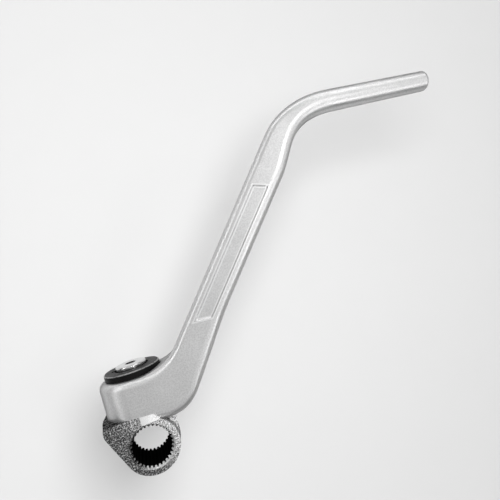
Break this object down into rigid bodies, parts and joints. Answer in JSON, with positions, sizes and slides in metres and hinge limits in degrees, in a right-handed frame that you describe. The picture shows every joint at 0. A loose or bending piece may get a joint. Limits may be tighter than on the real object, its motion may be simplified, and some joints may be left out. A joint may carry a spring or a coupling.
{
  "type": "kick start lever",
  "caption": "Folding motorbike kick start lever: a forged arm with a round foot bar that swings on the post of a cast boss with a splined bore.",
  "frame": {"origin": "middle of the splined bore", "axes": "+Z along the bore towards the engine, +Y up the pivot axis, +X towards the foot bar"},
  "size_m": [0.203, 0.1572, 0.0597],
  "materials": {
    "blasted_alloy": "fine bead-blasted silver",
    "cast_steel": "rough as-cast, plated, machined on the seats",
    "black_washer": "satin black oxide",
    "bright_screw": "bright zinc plate",
    "seal_rubber": "matte black rubber",
    "ball_steel": "polished ball steel",
    "spring_steel": "drawn spring wire"
  },
  "bodies": {
    "boss": {"spline_boss": "cast_steel", "pivot_washer": "black_washer", "pivot_screw": "bright_screw", "lower_pivot_seal": "seal_rubber", "upper_pivot_seal": "seal_rubber", "detent_spring": "spring_steel"},
    "arm": {"kick_arm": "blasted_alloy"},
    "detent": {"detent_ball": "ball_steel"}
  },
  "joints": [
    {"name": "arm_swing", "type": "hinge", "parent": "boss", "child": "arm", "pos_m": [0, 0.025, -0.003], "axis": [0, 1, 0], "range_deg": [0, 90]},
    {"name": "detent_slide", "type": "slide", "parent": "boss", "child": "detent", "axis": [0, 1, 0], "range_m": [0, 0.001], "stiffness_N_per_m": 4000, "springref_m": 0.004, "deforming": ["detent_spring"]}
  ]
}
